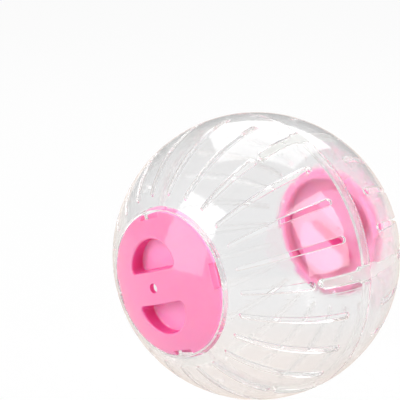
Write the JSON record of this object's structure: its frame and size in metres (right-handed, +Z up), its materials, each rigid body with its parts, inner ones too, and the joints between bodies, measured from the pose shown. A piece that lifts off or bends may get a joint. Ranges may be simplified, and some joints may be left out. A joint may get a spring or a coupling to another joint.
{
  "type": "hamster ball",
  "caption": "Clear plastic exercise ball for a hamster, made of snap-together half shells with tapered vent slots and pink bayonet lids with finger recesses.",
  "frame": {"origin": "centre of the ball", "axes": "+Z up, lids' axis along Y with the front lid on -Y and the rear lid on +Y"},
  "size_m": [0.12, 0.12, 0.12],
  "materials": {
    "clear_shell": "clear moulded polystyrene",
    "pink_lid": "glossy pink moulding"
  },
  "bodies": {
    "front_half": {"front_shell": "clear_shell"},
    "rear_half": {"rear_shell": "clear_shell"},
    "front_door": {"front_lid": "pink_lid"},
    "rear_door": {"rear_lid": "pink_lid"}
  },
  "joints": [
    {"name": "front_lid_lift", "type": "slide", "parent": "front_half", "child": "front_door", "axis": [0, -1, 0], "range_m": [0, 0.05]},
    {"name": "halves_pull_apart", "type": "slide", "parent": "front_half", "child": "rear_half", "axis": [0, 1, 0], "range_m": [0, 0.05]},
    {"name": "rear_lid_turn", "type": "hinge", "parent": "rear_half", "child": "rear_door", "pos_m": [0, 0.05, 0], "axis": [0, 1, 0], "range_deg": [0, 40]}
  ]
}
